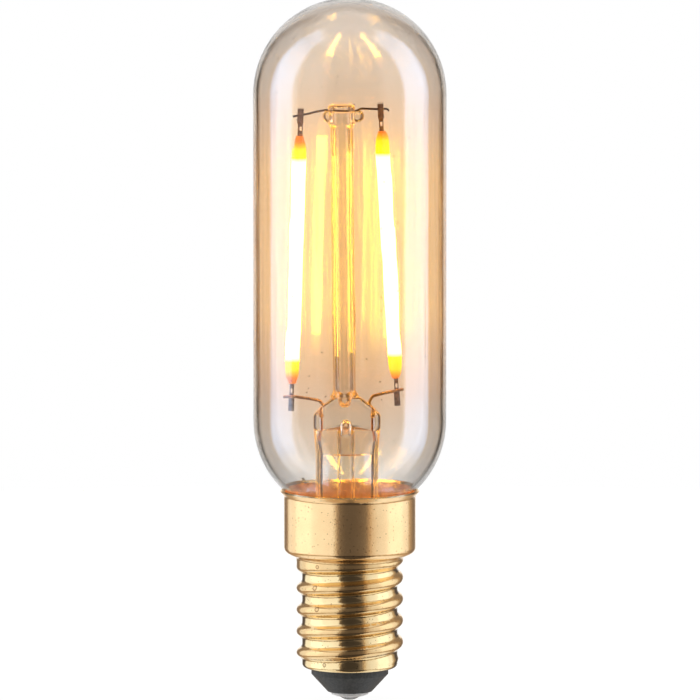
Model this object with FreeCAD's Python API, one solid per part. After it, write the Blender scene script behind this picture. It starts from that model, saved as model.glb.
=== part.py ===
"""Tubular filament light bulb with a small screw cap.

Millimetres. The lamp stands on its centre contact: the origin is the contact's tip and +Z runs
along the lamp's axis to the top of the dome. The front faces -Y, and the lamp's left side is -X.
"""
import FreeCAD, Part
import math
import os

V = FreeCAD.Vector
UP = V(0, 0, 1)
JOIN_REACH = 0.0001

# Glass envelope
BULB_RADIUS = 12.5
BULB_TOP = 91.4
BULB_WALL = 0.6
NECK_RADIUS = 7.6
NECK_FILLET = 1.6
NECK_BOTTOM = 20.4
SEAL_LIP_THICKNESS = 0.7
SEAL_LIP_WIDTH = 2.1

# Screw cap
THREAD_CREST_RADIUS = 6.945
THREAD_ROOT_RADIUS = 6.2
THREAD_PITCH = 2.822
THREAD_CREST_ARC = 0.75
THREAD_ROOT_LAND = 0.5
THREAD_FIRST_CREST = 0.5
THREADED_LENGTH = 13.4
THREAD_FADE = 1.2
THREAD_ROUND_COUNT = 36
THREAD_ROW_COUNT = 18
CURVE_DEGREE = 3
SHELL_WALL = 0.28
CURL_HEIGHT = 0.65
CURL_RADIUS = 0.5
CURL_WIDTH = 1.15
COLLAR_HEIGHT = 0.4
COLLAR_BEND = 0.4
SHOULDER_RISE = 0.75
SHOULDER_ROUND = 0.9
SKIRT_RADIUS = 8.55
SKIRT_LENGTH = 7.25
LIP_RISE = 0.6
LIP_RADIUS = 9.05
LIP_BEND = 0.5
LIP_GAP = 0.2

# Insulator and contact
CONTACT_HEIGHT = 1.1
CONTACT_RADIUS = 2.4
CONTACT_EDGE = 0.35
SOLDER_RADIUS = 1.3
SOLDER_HEIGHT = 0.25
SOLDER_FLAT_RADIUS = 0.5
SOLDER_DEPTH = 0.15
SOLDER_BULGE = 0.06
INSULATOR_TIP_RADIUS = 2.9
INSULATOR_CONE = 2.3
INSULATOR_BAND = 0.85
INSULATOR_FLANGE = 1.7
INSULATOR_CHAMFER = 0.4
INSULATOR_HOLE_RADIUS = 0.6
FIT_GAP = 0.05

# Glass stem
STEM_OFFSET = -0.36
FLARE_RADIUS = 4.08
FLARE_WALL = 0.48
FLARE_RIM_RADIUS = 6.5
FLARE_DROP = 5.0
PRESS_BOTTOM = 35.0
PRESS_WIDTH = 8.7
PRESS_THICKNESS = 3.0
PRESS_EDGE_ROUND = 0.9
PRESS_SIDE = 2.3
PRESS_SHOULDER_INSET = 1.1
PRESS_SHOULDER_RISE = 1.15
PRESS_CROWN_RISE = 1.15
PRESS_CROWN_HALF = 1.7
PRESS_BLEND = 2.6
WEDGE_WIDTH = 7.0
WEDGE_THICKNESS = 0.6
EXHAUST_OFFSET = -0.15
EXHAUST_RADIUS = 1.12
EXHAUST_WALL = 0.36
EXHAUST_TIP = 20.2
EXHAUST_HOLE_RADIUS = 0.5
EXHAUST_HOLE_RISE = 0.9
POST_OFFSET = -0.33
POST_RADIUS = 1.44
POST_WALL = 0.55
POST_LEAN = 0.6
POST_CAVITY_DEPTH = 0.45
POST_FOOT_RADIUS = 1.9
POST_FOOT_HEIGHT = 0.8
POST_BEYOND_FILAMENT = 2.8
BUTTON_RADIUS = 1.76
BUTTON_HEIGHT = 2.5
BUTTON_CAP = 1.0
BUTTON_ROUND = 0.45
BUTTON_NECK = 0.5
LOBE_RADIUS = 0.82
LOBE_REACH_LEFT = 1.63
LOBE_REACH_RIGHT = 2.08
LOBE_HEIGHT = 1.0

# Wires
LEAD_RADIUS = 0.2
LEAD_BEND = 0.6
SUPPORT_WIRE_RADIUS = 0.14
SUPPORT_WIRE_BEND = 0.45
WELD_BEAD_RADIUS = 0.34
SEAL_WIRE_RADIUS = 0.21
SEAL_WIRE_SPREAD = 3.3
SEAL_WIRE_LENGTH = 3.4
WELD_DEPTH = 1.25
OUTER_LEAD_RADIUS = 0.15
HOOKUP_WIRE_RADIUS = 0.22
HOOKUP_BEND = 0.6

# Filaments
FILAMENT_LENGTH = 32.2
FILAMENT_RADIUS = 0.93
FILAMENT_TAPER = 2.4
FILAMENT_END_RADIUS = 0.46
SUBSTRATE_WIDTH = 0.9
SUBSTRATE_THICKNESS = 0.4
SUBSTRATE_INSET = 1.0
TAB_WIDTH = 0.78
TAB_NECK_WIDTH = 0.58
TAB_THICKNESS = 0.22
TAB_LENGTH = 3.6
TAB_NECK_LENGTH = 1.5
TAB_FOLD_HEIGHT = 1.5
TAB_HOLE_WIDTH = 0.26
TAB_HOLE_LENGTH = 0.6
TAB_HOLE_DISTANCE = 0.95
CHIP_COUNT = 26
CHIP_WIDTH = 0.5
CHIP_LENGTH = 0.8
CHIP_THICKNESS = 0.15

# Where each filament's foot lies, with its height above the press, and its lean outwards in degrees
FILAMENT_FEET = {
    "left": {"x": -7.5, "rise": 1.754, "lean": 1.92},
    "right": {"x": 5.976, "rise": 2.426, "lean": -3.26},
}

# Route of the support wire as (x, height above the post's top), read along the wire
SUPPORT_WIRE_ROUTE = [
    (-7.38, 1.47), (-5.35, 1.84), (-4.36, 2.10), (-3.12, 2.33), (0.80, 2.20),
    (1.53, 2.52), (3.44, 2.45), (4.83, 2.49), (5.04, 2.20),
]

# Routes of the inner leads as (x, height above the press), read from the filament's foot
INNER_LEAD_ROUTES = {
    "left": [(-8.61, 0.02), (-7.10, 0.06), (-5.24, -0.20), (-3.95, -0.45), (-3.40, -1.10)],
    "right": [(6.98, 1.02), (5.92, 0.82), (4.23, 0.46), (2.94, 0.12), (2.50, -0.70)],
}

# Driver board in the cap
BOARD_WIDTH = 8.4
BOARD_THICKNESS = 0.8
BOARD_HEIGHT = 11.7
BOARD_NOTCH_WIDTH = 2.2
BOARD_NOTCH_HEIGHT = 1.2
SLEEVE_RADIUS = 5.6
SLEEVE_WALL = 0.15
SLEEVE_HEIGHT = 12.2
RECTIFIER_WIDTH = 4.0
RECTIFIER_HEIGHT = 4.7
RECTIFIER_THICKNESS = 1.5
RECTIFIER_LIFT = 2.0
CAPACITOR_RADIUS = 2.2
CAPACITOR_HEIGHT = 5.8
CAPACITOR_LIFT = 5.7
CAPACITOR_EDGE_ROUND = 0.35
CAPACITOR_LEAD_SPREAD = 1.25
CAPACITOR_LEAD_DROP = 0.55
REGULATOR_WIDTH = 3.2
REGULATOR_HEIGHT = 1.8
REGULATOR_THICKNESS = 1.1
REGULATOR_LIFT = 8.3
SET_RESISTOR_WIDTH = 1.6
SET_RESISTOR_HEIGHT = 0.8
SET_RESISTOR_THICKNESS = 0.5
SET_RESISTOR_LIFT = 0.6
SET_RESISTOR_X = 2.9
PIN_WIDTH = 0.4
PIN_REACH = 0.7
PIN_THICKNESS = 0.2
PIN_SPACING = 1.27
FUSE_RADIUS = 0.8
FUSE_LENGTH = 3.0
FUSE_LIFT = 2.0
FUSE_END_ROUND = 0.3
BOARD_LEAD_OVERLAP = 1.6
LEAD_LANDING_SPREAD = 3.3
FUSE_LEAD_RISE = 0.4
CENTRE_WIRE_DROP = 0.6

# Basing cement and neutral wire
CEMENT_BOTTOM = 21.3
CEMENT_TOP_GAP = 0.15
NEUTRAL_WIRE_THICKNESS = 0.1
NEUTRAL_WIRE_WIDTH = 0.34
NEUTRAL_WIRE_GAP = 0.02
NEUTRAL_WIRE_X = -6.5
NEUTRAL_WIRE_TAIL = 0.5
NEUTRAL_WIRE_SLANT = 33.0
NEUTRAL_WIRE_FOOT = 20.9
NEUTRAL_LANDING_SPREAD = 3.6

# Heights worked out from the sizes above
SHELL_BOTTOM = CONTACT_HEIGHT + INSULATOR_CONE + INSULATOR_BAND
THREAD_BOTTOM = SHELL_BOTTOM + CURL_HEIGHT
THREAD_TOP = THREAD_BOTTOM + THREADED_LENGTH
SHOULDER_BOTTOM = THREAD_TOP + COLLAR_HEIGHT
SKIRT_BOTTOM = SHOULDER_BOTTOM + SHOULDER_RISE
LIP_START = SKIRT_BOTTOM + SKIRT_LENGTH
LIP_TOP = LIP_START + LIP_RISE
INSULATOR_TOP = SHELL_BOTTOM + SHELL_WALL + INSULATOR_FLANGE
INSULATOR_BAND_RADIUS = THREAD_ROOT_RADIUS - CURL_WIDTH - FIT_GAP
SEAL_PLANE = NECK_BOTTOM + SEAL_LIP_THICKNESS
LIP_SLOPE = math.atan2(LIP_RADIUS - SKIRT_RADIUS, LIP_RISE)
LIP_INSIDE_RADIUS = LIP_RADIUS - SHELL_WALL * math.cos(LIP_SLOPE)
LIP_INSIDE_TOP = LIP_TOP + SHELL_WALL * math.sin(LIP_SLOPE)
LOWER_CENTRE = LIP_INSIDE_TOP + math.sqrt(BULB_RADIUS ** 2 - (LIP_INSIDE_RADIUS - LIP_GAP) ** 2)
DOME_CENTRE = BULB_TOP - BULB_RADIUS
FILLET_CENTRE = V(
    NECK_RADIUS + NECK_FILLET, 0,
    LOWER_CENTRE - math.sqrt((BULB_RADIUS + NECK_FILLET) ** 2 - (NECK_RADIUS + NECK_FILLET) ** 2),
)
PRESS_TOP = PRESS_BOTTOM + PRESS_SIDE + PRESS_SHOULDER_RISE + PRESS_CROWN_RISE
POST_LENGTH = FILAMENT_LENGTH + POST_BEYOND_FILAMENT
POST_TOP = PRESS_TOP + POST_LENGTH
SUPPORT_WIRE_Y = -(TAB_THICKNESS / 2 + SUPPORT_WIRE_RADIUS)
LEAD_Y = -(TAB_THICKNESS / 2 + LEAD_RADIUS)
BOARD_FRONT = -BOARD_THICKNESS / 2
BOARD_BACK = BOARD_THICKNESS / 2
BOARD_TOP = INSULATOR_TOP + BOARD_HEIGHT


def at(radius, height):
    """A point of a profile in the XZ plane."""
    return V(radius, 0, height)


def line(start, end):
    return Part.LineSegment(start, end).toShape()


def arc(start, middle, end):
    return Part.Arc(start, middle, end).toShape()


def arc_about(centre, start, end):
    """The short arc in the XZ plane from start to end about a centre."""
    radius = start.sub(centre).Length
    halfway = start.add(end).multiply(0.5).sub(centre).normalize()
    return arc(start, centre.add(halfway.multiply(radius)), end)


def rounded_edges(points, bends):
    """Straight edges through the points, with an arc of the given radius at each inner point."""
    edges = []
    start = points[0]
    for before, corner, after, bend in zip(points, points[1:], points[2:], bends):
        back = before.sub(corner).normalize()
        ahead = after.sub(corner).normalize()
        half_angle = back.getAngle(ahead) / 2
        reach = bend / math.tan(half_angle)
        arc_start = corner.add(V(back).multiply(reach))
        arc_end = corner.add(V(ahead).multiply(reach))
        bisector = back.add(ahead).normalize()
        middle = corner.add(bisector.multiply(bend / math.sin(half_angle) - bend))
        edges.append(line(start, arc_start))
        edges.append(arc(arc_start, middle, arc_end))
        start = arc_end
    edges.append(line(start, points[-1]))
    return edges


def loop_face(edges):
    return Part.Face(Part.Wire(Part.__sortEdges__(edges)))


def polygon_face(points):
    return Part.Face(Part.makePolygon(points + [points[0]]))


def turned(face, x=0):
    """A face in the XZ plane turned a whole turn about a vertical axis at x."""
    return face.revolve(V(x, 0, 0), UP, 360)


def turned_profile(points):
    return turned(polygon_face([at(radius, height) for radius, height in points]))


def cylinder(radius, bottom, top, x=0, y=0):
    return Part.makeCylinder(radius, top - bottom, V(x, y, bottom))


def block(width, depth, height, x, y, bottom):
    """A box centred on x and y that stands on the given height."""
    return Part.makeBox(width, depth, height, V(x - width / 2, y - depth / 2, bottom))


def wire_solid(points, radius, bend):
    """A round wire through the points, with every inner point bent to one radius."""
    path = Part.Wire(rounded_edges(points, [bend] * (len(points) - 2)))
    direction = points[1].sub(points[0])
    section = Part.Wire(Part.makeCircle(radius, points[0], direction))
    return path.makePipeShell([section], True, False)


def one_solid(shape):
    """The single solid of a boolean result."""
    refined = shape.removeSplitter()
    assert len(refined.Solids) == 1, len(refined.Solids)
    return refined.Solids[0]


def glass_wall_edges(inset):
    """The envelope's side from the dome's top to the neck's fillet, at a depth inside its outside."""
    radius = BULB_RADIUS - inset
    slope = FILLET_CENTRE.sub(at(0, LOWER_CENTRE)).normalize()
    fillet_start = at(0, LOWER_CENTRE).add(slope.multiply(radius))
    fillet_end = at(NECK_RADIUS - inset, FILLET_CENTRE.z)
    dome = arc_about(at(0, DOME_CENTRE), at(0, DOME_CENTRE + radius), at(radius, DOME_CENTRE))
    side = line(at(radius, DOME_CENTRE), at(radius, LOWER_CENTRE))
    lower = arc_about(at(0, LOWER_CENTRE), at(radius, LOWER_CENTRE), fillet_start)
    fillet = arc_about(FILLET_CENTRE, fillet_start, fillet_end)
    return [dome, side, lower, fillet]


def glass_body(inset):
    """Everything inside the envelope's side at a depth, down to the neck's bottom, as one solid."""
    edges = glass_wall_edges(inset)
    neck = NECK_RADIUS - inset
    edges.append(line(at(neck, FILLET_CENTRE.z), at(neck, NECK_BOTTOM)))
    edges.append(line(at(neck, NECK_BOTTOM), at(0, NECK_BOTTOM)))
    edges.append(line(at(0, NECK_BOTTOM), at(0, BULB_TOP - inset)))
    return turned(loop_face(edges))


def glass_envelope():
    inside_neck = NECK_RADIUS - BULB_WALL
    lip_inside = NECK_RADIUS - SEAL_LIP_WIDTH
    edges = glass_wall_edges(0) + glass_wall_edges(BULB_WALL)
    outline = [
        at(NECK_RADIUS, FILLET_CENTRE.z), at(NECK_RADIUS, NECK_BOTTOM), at(lip_inside, NECK_BOTTOM),
        at(lip_inside, SEAL_PLANE), at(inside_neck, SEAL_PLANE), at(inside_neck, FILLET_CENTRE.z),
    ]
    edges += [line(start, end) for start, end in zip(outline, outline[1:])]
    edges.append(line(at(0, BULB_TOP - BULB_WALL), at(0, BULB_TOP)))
    return turned(loop_face(edges))


def flare_profile(radius, start_height):
    """The flare tube's outline from its axis: straight, then a trumpet down to the seal plane."""
    half_turn = math.atan2(FLARE_RIM_RADIUS - FLARE_RADIUS, FLARE_DROP)
    trumpet = FLARE_DROP / math.sin(2 * half_turn)
    centre = at(STEM_OFFSET + FLARE_RADIUS + trumpet, SEAL_PLANE + FLARE_DROP)
    curve = centre.x - (STEM_OFFSET + radius)
    rim = at(centre.x - math.sqrt(curve ** 2 - FLARE_DROP ** 2), SEAL_PLANE)
    trumpet_top = at(STEM_OFFSET + radius, centre.z)
    edges = [
        line(at(STEM_OFFSET, SEAL_PLANE), rim),
        arc_about(centre, rim, trumpet_top),
        line(trumpet_top, at(STEM_OFFSET + radius, start_height)),
        line(at(STEM_OFFSET + radius, start_height), at(STEM_OFFSET, start_height)),
        line(at(STEM_OFFSET, start_height), at(STEM_OFFSET, SEAL_PLANE)),
    ]
    return turned(loop_face(edges), STEM_OFFSET)


def flattening(radius, width, thickness, bottom, top):
    """A round tube squeezed to an oval of the given width and thickness at its top."""
    circle = Part.Wire(Part.makeCircle(radius, V(STEM_OFFSET, 0, bottom), UP))
    oval = Part.Ellipse(V(STEM_OFFSET, 0, top), width / 2, thickness / 2).toShape()
    return Part.makeLoft([circle, Part.Wire(oval)], True, True)


def press_block():
    """The flat squeezed glass that seals the wires, with sloping shoulders up to the post."""
    half = PRESS_WIDTH / 2
    side_top = PRESS_BOTTOM + PRESS_SIDE
    shoulder = side_top + PRESS_SHOULDER_RISE
    right = [
        (half, PRESS_BOTTOM), (half, side_top), (half - PRESS_SHOULDER_INSET, shoulder),
        (PRESS_CROWN_HALF, PRESS_TOP),
    ]
    outline = right + [(-x, z) for x, z in reversed(right)]
    points = [V(STEM_OFFSET + x, -PRESS_THICKNESS / 2, z) for x, z in outline]
    plate = polygon_face(points).extrude(V(0, PRESS_THICKNESS, 0))
    return plate.makeFillet(PRESS_EDGE_ROUND, plate.Edges)


def leaned(shape, foot):
    """A shape leaned about the foot of the post, with its top going to the left."""
    copy = shape.copy()
    copy.rotate(foot, V(0, 1, 0), -POST_LEAN)
    return copy


def post_and_button(foot):
    """The hollow post with its widened, closed end, before its lean, and the hollow inside it."""
    top = foot.z + POST_LENGTH
    bore = POST_RADIUS - POST_WALL
    outside = cylinder(POST_RADIUS, foot.z - PRESS_CROWN_RISE, top + BUTTON_NECK, foot.x)
    foot_cone = Part.makeCone(POST_FOOT_RADIUS, POST_RADIUS, POST_FOOT_HEIGHT, V(foot.x, 0, foot.z))
    neck = Part.makeCone(POST_RADIUS, BUTTON_RADIUS, BUTTON_NECK, V(foot.x, 0, top))
    button = cylinder(BUTTON_RADIUS, top + BUTTON_NECK, top + BUTTON_NECK + BUTTON_HEIGHT, foot.x)
    button = button.makeFillet(BUTTON_ROUND, [edge for edge in button.Edges
                                              if edge.BoundBox.ZMin > top + BUTTON_HEIGHT])
    lobes = []
    for reach in (-LOBE_REACH_LEFT, LOBE_REACH_RIGHT):
        centre = V(foot.x + reach, 0, top + BUTTON_NECK + LOBE_HEIGHT)
        lobes.append(Part.makeSphere(LOBE_RADIUS, centre))
    outside = outside.fuse([foot_cone, neck, button] + lobes)
    floor = foot.z - POST_CAVITY_DEPTH
    cavity_top = top + BUTTON_NECK + BUTTON_HEIGHT - BUTTON_CAP
    wide = BUTTON_RADIUS - POST_WALL
    hollow = cylinder(bore, floor, top + BUTTON_NECK, foot.x)
    hollow = hollow.fuse([
        Part.makeSphere(bore, V(foot.x, 0, floor)),
        Part.makeCone(bore, wide, BUTTON_NECK, V(foot.x, 0, top)),
        cylinder(wide, top + BUTTON_NECK, cavity_top, foot.x),
    ])
    return outside, hollow


def exhaust_solids():
    """The pumping tube down the flare, closed at its tip, its bore, and the hole out of the press."""
    x = STEM_OFFSET + EXHAUST_OFFSET
    bore = EXHAUST_RADIUS - EXHAUST_WALL
    tip_top = EXHAUST_TIP + EXHAUST_RADIUS
    outside = cylinder(EXHAUST_RADIUS, tip_top, PRESS_BOTTOM + PRESS_EDGE_ROUND, x)
    outside = outside.fuse(Part.makeSphere(EXHAUST_RADIUS, V(x, 0, tip_top)))
    bore_top = PRESS_BOTTOM + EXHAUST_HOLE_RISE
    inside = cylinder(bore, tip_top, bore_top, x)
    side_hole = Part.makeCylinder(EXHAUST_HOLE_RADIUS, PRESS_THICKNESS, V(x, 0, bore_top), V(0, 1, 0))
    inside = inside.fuse([
        Part.makeSphere(bore, V(x, 0, tip_top)), Part.makeSphere(bore, V(x, 0, bore_top)), side_hole,
    ])
    return outside, inside


def glass_stem(wires):
    """The clear glass mount, fused in one piece round the wires that it holds."""
    blend_bottom = PRESS_BOTTOM - PRESS_BLEND
    foot = V(STEM_OFFSET + POST_OFFSET, 0, PRESS_TOP)
    post, post_hollow = post_and_button(foot)
    exhaust, exhaust_bore = exhaust_solids()
    bore_radius = FLARE_RADIUS - FLARE_WALL
    blend_top = PRESS_BOTTOM + PRESS_EDGE_ROUND
    body = flare_profile(FLARE_RADIUS, blend_bottom)
    body = body.fuse([
        flattening(FLARE_RADIUS, PRESS_WIDTH, PRESS_THICKNESS, blend_bottom, blend_top), press_block(),
    ])
    hollow = flare_profile(bore_radius, blend_bottom)
    hollow = hollow.fuse(flattening(bore_radius, WEDGE_WIDTH, WEDGE_THICKNESS, blend_bottom, PRESS_BOTTOM))
    body = body.cut(hollow)
    body = body.fuse([exhaust, leaned(post, foot)])
    body = body.cut([exhaust_bore, leaned(post_hollow, foot)] + wires)
    return one_solid(body)


def support_wire():
    points = [V(x, SUPPORT_WIRE_Y, POST_TOP + rise) for x, rise in SUPPORT_WIRE_ROUTE]
    return wire_solid(points, SUPPORT_WIRE_RADIUS, SUPPORT_WIRE_BEND)


def seal_x(side):
    """Where a sealed wire stands in the press."""
    return STEM_OFFSET + (SEAL_WIRE_SPREAD if side == "right" else -SEAL_WIRE_SPREAD)


def weld_point(side):
    return V(seal_x(side), LEAD_Y, PRESS_TOP - PRESS_CROWN_RISE - WELD_DEPTH)


def inner_lead(side):
    """The bent lead from a filament's foot to its weld bead in the press."""
    points = [V(x, LEAD_Y, PRESS_TOP + rise) for x, rise in INNER_LEAD_ROUTES[side]]
    points.append(weld_point(side))
    bead = Part.makeSphere(WELD_BEAD_RADIUS, weld_point(side))
    return one_solid(wire_solid(points, LEAD_RADIUS, LEAD_BEND).fuse(bead))


def seal_wire(side):
    weld = weld_point(side)
    return cylinder(SEAL_WIRE_RADIUS, weld.z - SEAL_WIRE_LENGTH, weld.z, weld.x, weld.y)


def outer_lead(side):
    """From the sealed wire down inside the flare tube to the face of the driver board."""
    weld = weld_point(side)
    landing = math.copysign(LEAD_LANDING_SPREAD, weld.x)
    face = BOARD_FRONT - OUTER_LEAD_RADIUS
    straight_end = SEAL_PLANE + FLARE_DROP
    points = [
        V(weld.x, weld.y, weld.z - SEAL_WIRE_LENGTH), V(weld.x, weld.y, straight_end),
        V(landing, face, BOARD_TOP + FIT_GAP), V(landing, face, BOARD_TOP - BOARD_LEAD_OVERLAP),
    ]
    return wire_solid(points, OUTER_LEAD_RADIUS, HOOKUP_BEND)


def filament_placement(side):
    """Where the filament's middle goes, from its foot and its lean."""
    foot = FILAMENT_FEET[side]
    turn = FreeCAD.Rotation(V(0, 1, 0), foot["lean"])
    up_to_middle = turn.multVec(V(0, 0, FILAMENT_LENGTH / 2))
    return FreeCAD.Placement(V(foot["x"], 0, PRESS_TOP + foot["rise"]).add(up_to_middle), turn)


def substrate():
    length = FILAMENT_LENGTH - 2 * SUBSTRATE_INSET
    return block(SUBSTRATE_WIDTH, SUBSTRATE_THICKNESS, length, 0, 0, -length / 2)


def chips():
    """The row of light-emitting chips on the substrate's front."""
    row = FILAMENT_LENGTH - 2 * FILAMENT_TAPER
    spacing = row / CHIP_COUNT
    y = -(SUBSTRATE_THICKNESS + CHIP_THICKNESS) / 2
    bottoms = [(index + 0.5) * spacing - row / 2 - CHIP_LENGTH / 2 for index in range(CHIP_COUNT)]
    return [block(CHIP_WIDTH, CHIP_THICKNESS, CHIP_LENGTH, 0, y, bottom) for bottom in bottoms]


def coating_body():
    """The coating's outside: a round bar whose ends taper."""
    half = FILAMENT_LENGTH / 2
    taper_start = half - FILAMENT_TAPER
    narrowing = FILAMENT_RADIUS - FILAMENT_END_RADIUS
    taper_arc = (narrowing ** 2 + FILAMENT_TAPER ** 2) / (2 * narrowing)
    edges = [line(at(FILAMENT_RADIUS, -taper_start), at(FILAMENT_RADIUS, taper_start))]
    for way in (-1, 1):
        side = at(FILAMENT_RADIUS, way * taper_start)
        end = at(FILAMENT_END_RADIUS, way * half)
        edges.append(arc_about(at(FILAMENT_RADIUS - taper_arc, way * taper_start), side, end))
        edges.append(line(end, at(0, way * half)))
    edges.append(line(at(0, -half), at(0, half)))
    return turned(loop_face(edges))


def tab_outline(folded):
    """A tab's front outline above the substrate's end, with its neck and oblong hole."""
    start = FILAMENT_LENGTH / 2 - SUBSTRATE_INSET
    neck_end = FILAMENT_LENGTH / 2 + TAB_NECK_LENGTH
    flare_end = neck_end + (TAB_WIDTH - TAB_NECK_WIDTH)
    tip = FILAMENT_LENGTH / 2 + TAB_LENGTH
    right = [
        (TAB_NECK_WIDTH / 2, start), (TAB_NECK_WIDTH / 2, neck_end), (TAB_WIDTH / 2, flare_end),
        (TAB_WIDTH / 2, tip),
    ]
    outline = right + [(-x, z) for x, z in reversed(right)]
    depth = TAB_THICKNESS + (2 * SUPPORT_WIRE_RADIUS + TAB_THICKNESS if folded else 0)
    face = polygon_face([V(x, TAB_THICKNESS / 2, z) for x, z in outline])
    hole_middle = FILAMENT_LENGTH / 2 + TAB_HOLE_DISTANCE
    straight = (TAB_HOLE_LENGTH - TAB_HOLE_WIDTH) / 2
    plate = face.extrude(V(0, -depth, 0))
    hole = block(TAB_HOLE_WIDTH, 2 * depth, 2 * straight, 0, 0, hole_middle - straight)
    for way in (-1, 1):
        end = V(0, -depth, hole_middle + way * straight)
        hole = hole.fuse(Part.makeCylinder(TAB_HOLE_WIDTH / 2, 2 * depth, end, V(0, 1, 0)))
    return plate.cut(hole)


def fold_profile(depth_side):
    """The side view of a tab whose end is folded forward and down over the support wire."""
    start = FILAMENT_LENGTH / 2 - SUBSTRATE_INSET
    tip = FILAMENT_LENGTH / 2 + TAB_LENGTH
    back = TAB_THICKNESS / 2
    outer_bend = SUPPORT_WIRE_RADIUS + TAB_THICKNESS
    front = back - 2 * outer_bend
    flap_end = tip - TAB_FOLD_HEIGHT
    centre_y = back - outer_bend
    centre_z = tip - outer_bend

    def side_point(y, z):
        return V(depth_side, y, z)

    outer = arc(side_point(back, centre_z), side_point(centre_y, tip), side_point(front, centre_z))
    inner = arc(
        side_point(back - TAB_THICKNESS, centre_z), side_point(centre_y, tip - TAB_THICKNESS),
        side_point(front + TAB_THICKNESS, centre_z),
    )
    edges = [
        line(side_point(back, start), side_point(back, centre_z)), outer,
        line(side_point(front, centre_z), side_point(front, flap_end)),
        line(side_point(front, flap_end), side_point(front + TAB_THICKNESS, flap_end)),
        line(side_point(front + TAB_THICKNESS, flap_end), side_point(front + TAB_THICKNESS, centre_z)),
        inner,
        line(side_point(back - TAB_THICKNESS, centre_z), side_point(back - TAB_THICKNESS, start)),
        line(side_point(back - TAB_THICKNESS, start), side_point(back, start)),
    ]
    return loop_face(edges)


def top_tab():
    """The upper strip, folded over the support wire."""
    fold = fold_profile(-TAB_WIDTH).extrude(V(2 * TAB_WIDTH, 0, 0))
    return one_solid(tab_outline(True).common(fold))


def bottom_tab():
    """The lower strip is flat: the top one's outline turned to point down."""
    tab = tab_outline(False)
    tab.rotate(V(0, 0, 0), V(0, 1, 0), 180)
    return one_solid(tab)


def filament_nodes(side):
    """The five pieces of one filament, leaned into place."""
    base = substrate()
    row = chips()
    top = top_tab()
    bottom = bottom_tab()
    coating = one_solid(coating_body().cut([base, top, bottom] + row))
    pieces = {
        "substrate": base, "chips": Part.makeCompound(row), "top_tab": top, "bottom_tab": bottom,
        "phosphor": coating,
    }
    placement = filament_placement(side)
    for shape in pieces.values():
        shape.Placement = placement.multiply(shape.Placement)
    return {"filament_" + side + "_" + name: shape for name, shape in pieces.items()}


def thread_height(turns):
    """How far the rolled thread stands above its root, that many pitches from a crest's middle."""
    depth = THREAD_CREST_RADIUS - THREAD_ROOT_RADIUS
    reach = (THREAD_PITCH - THREAD_ROOT_LAND) / 2
    both_arcs = (reach ** 2 + depth ** 2) / (2 * depth)
    root_arc = both_arcs - THREAD_CREST_ARC
    along = abs(turns - round(turns)) * THREAD_PITCH
    if along < THREAD_CREST_ARC * reach / both_arcs:
        return depth - THREAD_CREST_ARC + math.sqrt(THREAD_CREST_ARC ** 2 - along ** 2)
    if along < reach:
        return root_arc - math.sqrt(root_arc ** 2 - (reach - along) ** 2)
    return 0


def smooth_step(value, start, end):
    share = min(max((value - start) / (end - start), 0), 1)
    return share * share * (3 - 2 * share)


def shell_radius(angle, height):
    """The brass shell's outside between the curl and the collar, with the thread's run in and out."""
    turns = (height - SHELL_BOTTOM - THREAD_FIRST_CREST) / THREAD_PITCH - angle / (2 * math.pi)
    ridge = thread_height(turns) * smooth_step(height, THREAD_BOTTOM, THREAD_BOTTOM + THREAD_FADE)
    collar = THREAD_CREST_RADIUS - THREAD_ROOT_RADIUS
    ridge += (collar - ridge) * smooth_step(height, THREAD_TOP - THREAD_FADE, THREAD_TOP)
    return THREAD_ROOT_RADIUS + ridge


def threaded_face(depth):
    """A smooth closed surface that follows the thread at a depth inside the shell's outside."""
    degree = CURVE_DEGREE
    spans = math.ceil(THREADED_LENGTH / THREAD_PITCH * THREAD_ROW_COUNT)
    rows = spans + degree
    row_height = THREADED_LENGTH / spans
    knots = [0] * degree + list(range(spans + 1)) + [spans] * degree
    row_places = [sum(knots[row + 1:row + 1 + degree]) / degree for row in range(rows)]
    step = 2 * math.pi / THREAD_ROUND_COUNT
    shrink = (2 + math.cos(step)) / 3
    columns = []
    for column in range(THREAD_ROUND_COUNT):
        angle = (column - 1) * step
        poles = []
        for place in row_places:
            height = THREAD_BOTTOM + place * row_height
            radius = (shell_radius(angle, height) - depth) / shrink
            poles.append(V(radius * math.cos(angle), radius * math.sin(angle), height))
        columns.append(poles)
    surface = Part.BSplineSurface()
    surface.buildFromPolesMultsKnots(
        columns, [1] * (THREAD_ROUND_COUNT + 1), [degree + 1] + [1] * (spans - 1) + [degree + 1],
        list(range(THREAD_ROUND_COUNT + 1)), list(range(spans + 1)), True, False, degree, degree,
    )
    return surface.toShape()


def inner_line(outside):
    """The line one wall inside a bent sheet's outside, on the left of its direction."""
    inside = []
    for index, point in enumerate(outside):
        before = outside[max(index - 1, 0)]
        after = outside[min(index + 1, len(outside) - 1)]
        behind = point.sub(before) if index > 0 else after.sub(point)
        ahead = after.sub(point) if index < len(outside) - 1 else behind
        normals = [V(-way.z, 0, way.x).normalize() for way in (behind, ahead)]
        mitre = normals[0].add(normals[1]).normalize()
        inside.append(point.add(V(mitre).multiply(SHELL_WALL / mitre.dot(normals[0]))))
    return inside


def turned_sheet(points, bends):
    """A bent sheet turned about the lamp's axis, its points on the outside and the wall within."""
    outside = [at(radius, height) for radius, height in points]
    inside = inner_line(outside)
    inner_bends = []
    for before, corner, after, bend in zip(outside, outside[1:], outside[2:], bends):
        turn = corner.sub(before).cross(after.sub(corner)).y
        inner_bends.append(bend + math.copysign(SHELL_WALL, turn))
    edges = rounded_edges(outside, bends) + rounded_edges(inside, inner_bends)
    edges += [line(outside[0], inside[0]), line(outside[-1], inside[-1])]
    return turned(loop_face(edges))


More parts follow.
